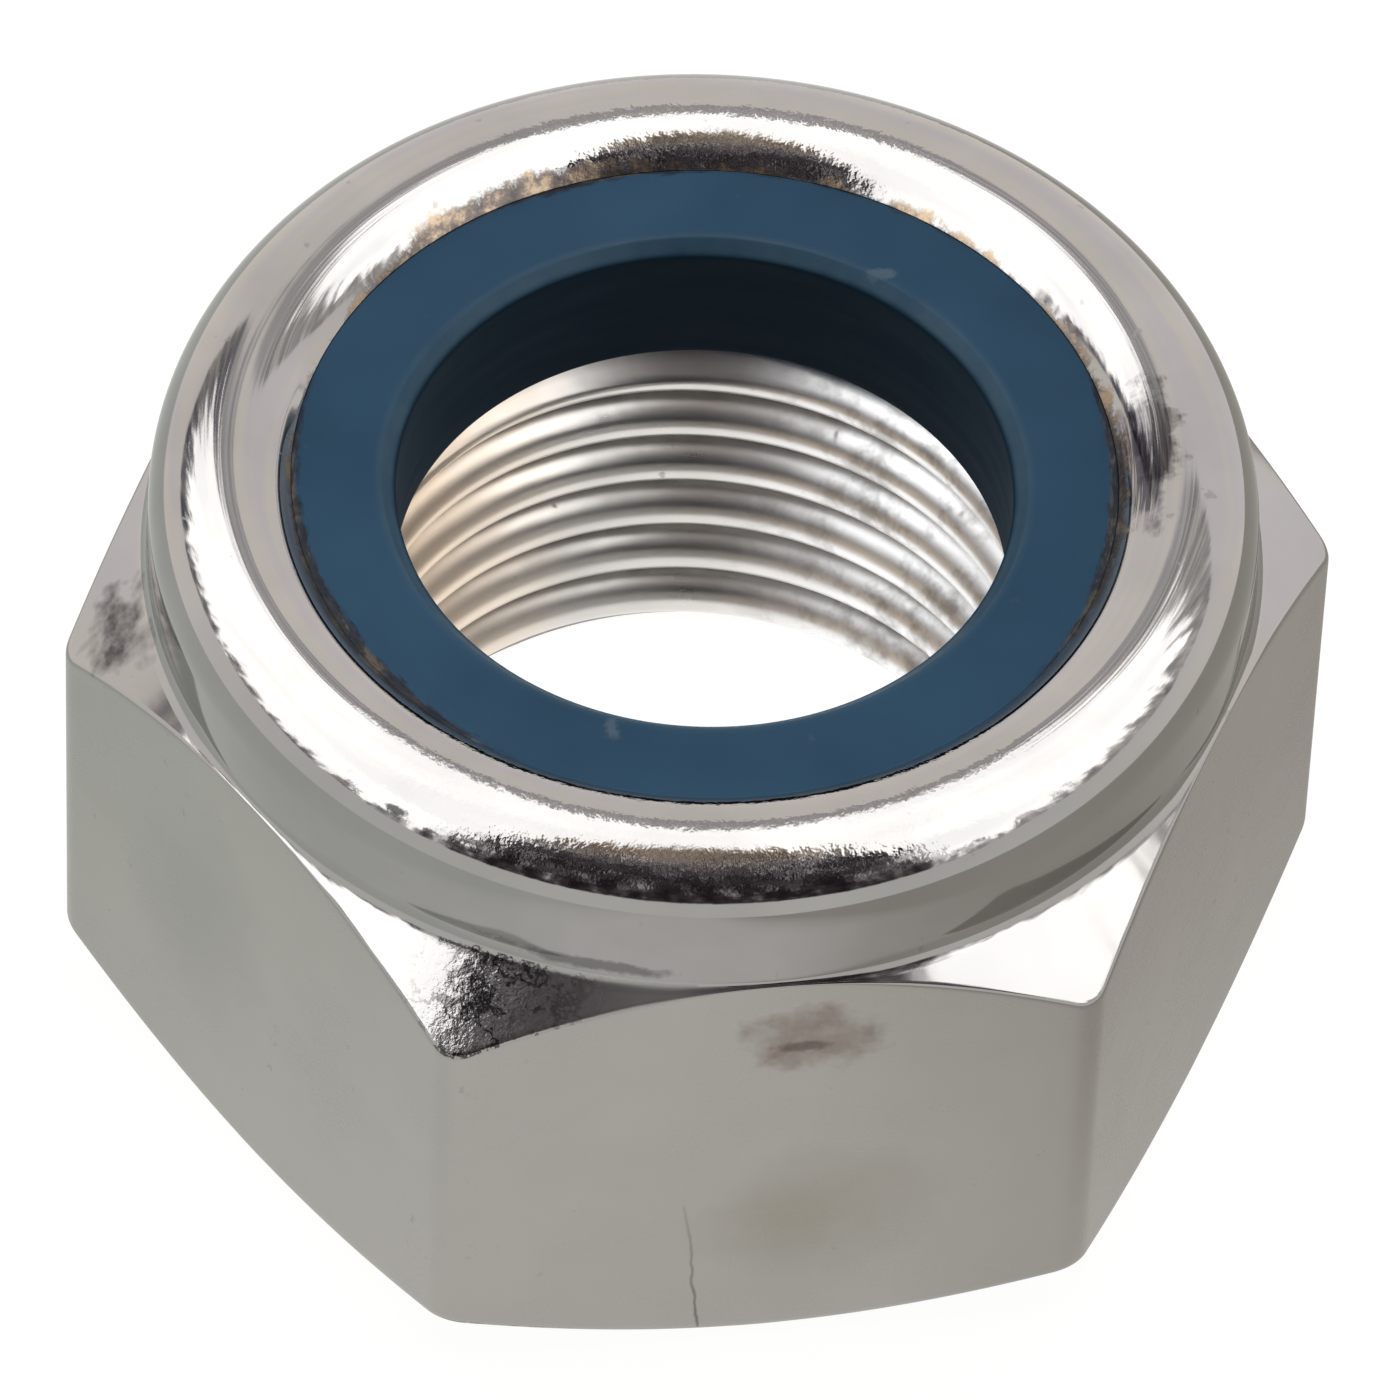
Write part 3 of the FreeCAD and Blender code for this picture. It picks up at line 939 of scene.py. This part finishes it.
class BuildRing(bpy.types.Operator):
    """Build the blue nylon ring that the lip holds"""
    bl_idname = "lock_nut.build_ring"
    bl_label = "Build ring"

    def execute(self, context):
        sizes = context.scene.nut_sizes
        ring = context.scene.nut_ring
        _, lip_top, lip_bottom, seat_top = lip_levels(sizes)
        top = lip_top - ring.top_drop
        floor = SEAT_HEIGHT + ring.gap
        middle = (floor + top) / 2
        outside = SEAT_RADIUS - ring.gap
        inside = sizes.lip_radius - ring.gap
        bore = ring.bore_radius
        line = section([
            Corner(bore, middle, 6),
            Corner(bore, floor, 6, RING_FOOT_EDGE, 3, 0.3),
            Corner(outside, floor, 4),
            Corner(outside, seat_top - ring.gap, 4),
            Corner(inside, lip_bottom - ring.gap, 2),
            Corner(inside, top, 14, RING_RIM_EDGE, 2, 0.4),
            Corner(bore + ring.bore_bevel, top, 4, RING_BEVEL_EDGE, 4, 0.4),
            Corner(bore, top - ring.bore_bevel, 6, RING_BEVEL_EDGE, 4, 0.4),
            Corner(bore, middle + LINE_GAP, 0),
        ])
        angles = [TURN * column / RING_COLUMNS for column in range(RING_COLUMNS + 1)]
        piece = mesh_object("ring", [line] * len(angles), angles)
        piece.data.materials.append(nylon_material(context.scene.nut_finish, bore, sizes.lip_radius))
        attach(piece, "root")
        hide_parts("nylon_insert")
        return {"FINISHED"}


# Soft boxes: name, degrees round from the camera's side, degrees above the horizon, side in metres
LAMPS = (("lamp_top", 180, 72, 0.5), ("lamp_left", -100, 40, 0.4), ("lamp_right", 100, 40, 0.4))
LAMP_DISTANCE = 0.5             # metres from the nut
FLOOR_DROP = 0.02 * MM          # the floor lies this far below the bearing face
SURROUND_FOOT = 1.0 * MM        # the surround ends this far below the bearing face
SENSOR_WIDTH = 36.0             # mm
VIEW_RANGE = (0.01, 10.0)       # metres from the camera


def towards(bearing, elevation):
    """Unit direction from the nut, at a bearing counted from -Y towards +X."""
    return Vector((math.sin(bearing) * math.cos(elevation), -math.cos(bearing) * math.cos(elevation),
                   math.sin(elevation)))


def hang_lamp(name, away, side, radiance):
    """Square soft box that faces the nut. Only matt surfaces take its light: bright ones mirror
    the surround."""
    data = bpy.data.lights.new(name, "AREA")
    data.shape = "SQUARE"
    data.size = side
    data.energy = radiance * math.pi * side * side
    lamp = bpy.data.objects.new(name, data)
    lamp.visible_glossy = False
    lamp.location = away * LAMP_DISTANCE
    lamp.rotation_mode = "QUATERNION"
    lamp.rotation_quaternion = away.to_track_quat("Z", "Y")
    bpy.context.scene.collection.objects.link(lamp)


def stage_mesh(name, work, material):
    """Object with a material, from a finished mesh."""
    mesh = bpy.data.meshes.new(name)
    work.to_mesh(mesh)
    work.free()
    mesh.materials.append(material)
    piece = bpy.data.objects.new(name, mesh)
    bpy.context.scene.collection.objects.link(piece)
    return piece


def lay_floor(studio, hole_radius):
    """Square floor just under the nut."""
    work = bmesh.new()
    bmesh.ops.create_grid(work, x_segments=1, y_segments=1, size=studio.floor_half)
    floor = stage_mesh("floor", work, floor_material(studio, hole_radius))
    floor.location.z = -FLOOR_DROP


def hang_surround(studio):
    """Dome round the nut that shows in reflections alone."""
    work = bmesh.new()
    bmesh.ops.create_uvsphere(work, u_segments=96, v_segments=48, radius=studio.surround_radius)
    under = [point for point in work.verts if point.co.z < -SURROUND_FOOT]
    bmesh.ops.delete(work, geom=under, context="VERTS")
    surround = stage_mesh("surround", work, surround_material(studio))
    surround.visible_camera = False
    surround.visible_diffuse = False
    surround.visible_shadow = False
    surround.visible_transmission = False


def light_world():
    """World that is white where it is seen and gives a faint light elsewhere."""
    world = bpy.data.worlds.new("studio")
    graph = Graph(world, "ShaderNodeOutputWorld")
    strength = graph.span(graph.seen(graph.add("ShaderNodeLightPath")), 0, 1, 0.10, 1.0)
    graph.show(graph.add("ShaderNodeBackground", Color=rgba((1, 0.99, 0.98)), Strength=strength))
    world.cycles.sampling_method = "NONE"
    bpy.context.scene.world = world


def aim_camera(studio):
    """Camera at the studio's azimuth and elevation, rolled and aimed as its settings say."""
    data = bpy.data.cameras.new("camera")
    data.lens = studio.lens
    data.sensor_width = SENSOR_WIDTH
    data.clip_start, data.clip_end = VIEW_RANGE
    camera = bpy.data.objects.new("camera", data)
    away = towards(studio.azimuth, studio.elevation)
    level = Vector((math.cos(studio.azimuth), math.sin(studio.azimuth), 0))
    upright = away.cross(level)
    right = level * math.cos(studio.roll) + upright * math.sin(studio.roll)
    rise = upright * math.cos(studio.roll) - level * math.sin(studio.roll)
    target = Vector((0, 0, studio.aim_height * MM))
    place = target + away * studio.distance
    back = (place - target - right * studio.aim_right * MM + rise * studio.aim_down * MM).normalized()
    side = rise.cross(back).normalized()
    turn = Matrix((side, back.cross(side), back)).transposed().to_4x4()
    camera.matrix_world = Matrix.Translation(place) @ turn
    bpy.context.scene.collection.objects.link(camera)
    bpy.context.scene.camera = camera


class BuildStage(bpy.types.Operator):
    """Lay the floor, hang the surround and the lamps, and aim the camera"""
    bl_idname = "lock_nut.build_stage"
    bl_label = "Build stage"

    def execute(self, context):
        studio = context.scene.nut_studio
        context.scene.view_settings.view_transform = "Standard"
        lay_floor(studio, context.scene.nut_sizes.mouth_radius)
        hang_surround(studio)
        light_world()
        for name, bearing, elevation, side in LAMPS:
            away = towards(studio.azimuth + math.radians(bearing), math.radians(elevation))
            hang_lamp(name, away, side, studio.light)
        aim_camera(studio)
        return {"FINISHED"}


class LOCKNUT_PT_panel(bpy.types.Panel):
    """Sidebar panel of the lock nut"""
    bl_label = "Lock Nut"
    bl_space_type = "VIEW_3D"
    bl_region_type = "UI"
    bl_category = "Lock Nut"

    def draw(self, context):
        layout = self.layout
        for operator in OPERATORS:
            layout.operator(operator.bl_idname)
        for name in GROUPS:
            group = getattr(context.scene, name)
            box = layout.box()
            for setting in group.bl_rna.properties:
                if setting.identifier not in ("rna_type", "name"):
                    box.prop(group, setting.identifier)


OPERATORS = (BuildNut, BuildRing, BuildStage)
CLASSES = (*GROUPS.values(), *OPERATORS, LOCKNUT_PT_panel)


def register():
    for kind in CLASSES:
        bpy.utils.register_class(kind)
    for name, kind in GROUPS.items():
        setattr(bpy.types.Scene, name, PointerProperty(type=kind))


def unregister():
    for name in GROUPS:
        delattr(bpy.types.Scene, name)
    for kind in reversed(CLASSES):
        bpy.utils.unregister_class(kind)


def main():
    register()
    bpy.ops.lock_nut.build_nut()
    bpy.ops.lock_nut.build_ring()
    bpy.ops.lock_nut.build_stage()


if __name__ == "__main__":
    main()
